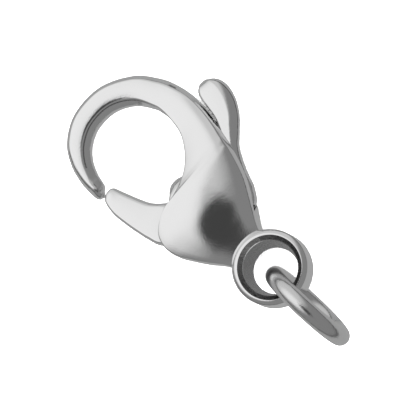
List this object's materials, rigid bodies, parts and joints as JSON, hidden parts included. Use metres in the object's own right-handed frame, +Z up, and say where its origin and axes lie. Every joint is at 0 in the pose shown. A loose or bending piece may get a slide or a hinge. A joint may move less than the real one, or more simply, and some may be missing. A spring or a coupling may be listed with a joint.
{
  "type": "lobster clasp",
  "caption": "Trigger clasp with a sprung lever that shuts its hook, and an eye that carries a jump ring, for a chain or cord end.",
  "frame": {"origin": "on the floor, under the middle of the whole thing as it lies at rest", "axes": "+X along the clasp from the jump ring to the hook's round end, +Y to the side of the gate, +Z up. The clasp lies as it rests by itself: the jump ring stands and props up the eye, so the clasp's own plane slopes 7.6 degrees down towards +X and rolls 3.75 degrees about X"},
  "size_m": [0.0188, 0.009, 0.0056],
  "materials": {
    "polished_casting": "cast sterling silver, tumbled and polished bright, faintly rippled",
    "polished_lever": "cast sterling silver, tumbled and polished bright",
    "pin_wire": "drawn sterling silver wire, cut and filed flush",
    "drawn_wire": "drawn sterling silver wire, polished, with fine draw lines along it"
  },
  "bodies": {
    "body": {"clasp_body": "polished_casting", "pivot_pin": "pin_wire", "jump_ring": "drawn_wire"},
    "lever": {"lever": "polished_lever"}
  },
  "joints": [
    {"name": "lever_pivot", "type": "hinge", "parent": "body", "child": "lever", "pos_m": [0.00146, 0.00089, 0.00169], "axis": [-0.1323, 0.0648, -0.9891], "range_deg": [0, 30], "stiffness_Nm_per_rad": 0.005, "springref_deg": -28.65}
  ]
}
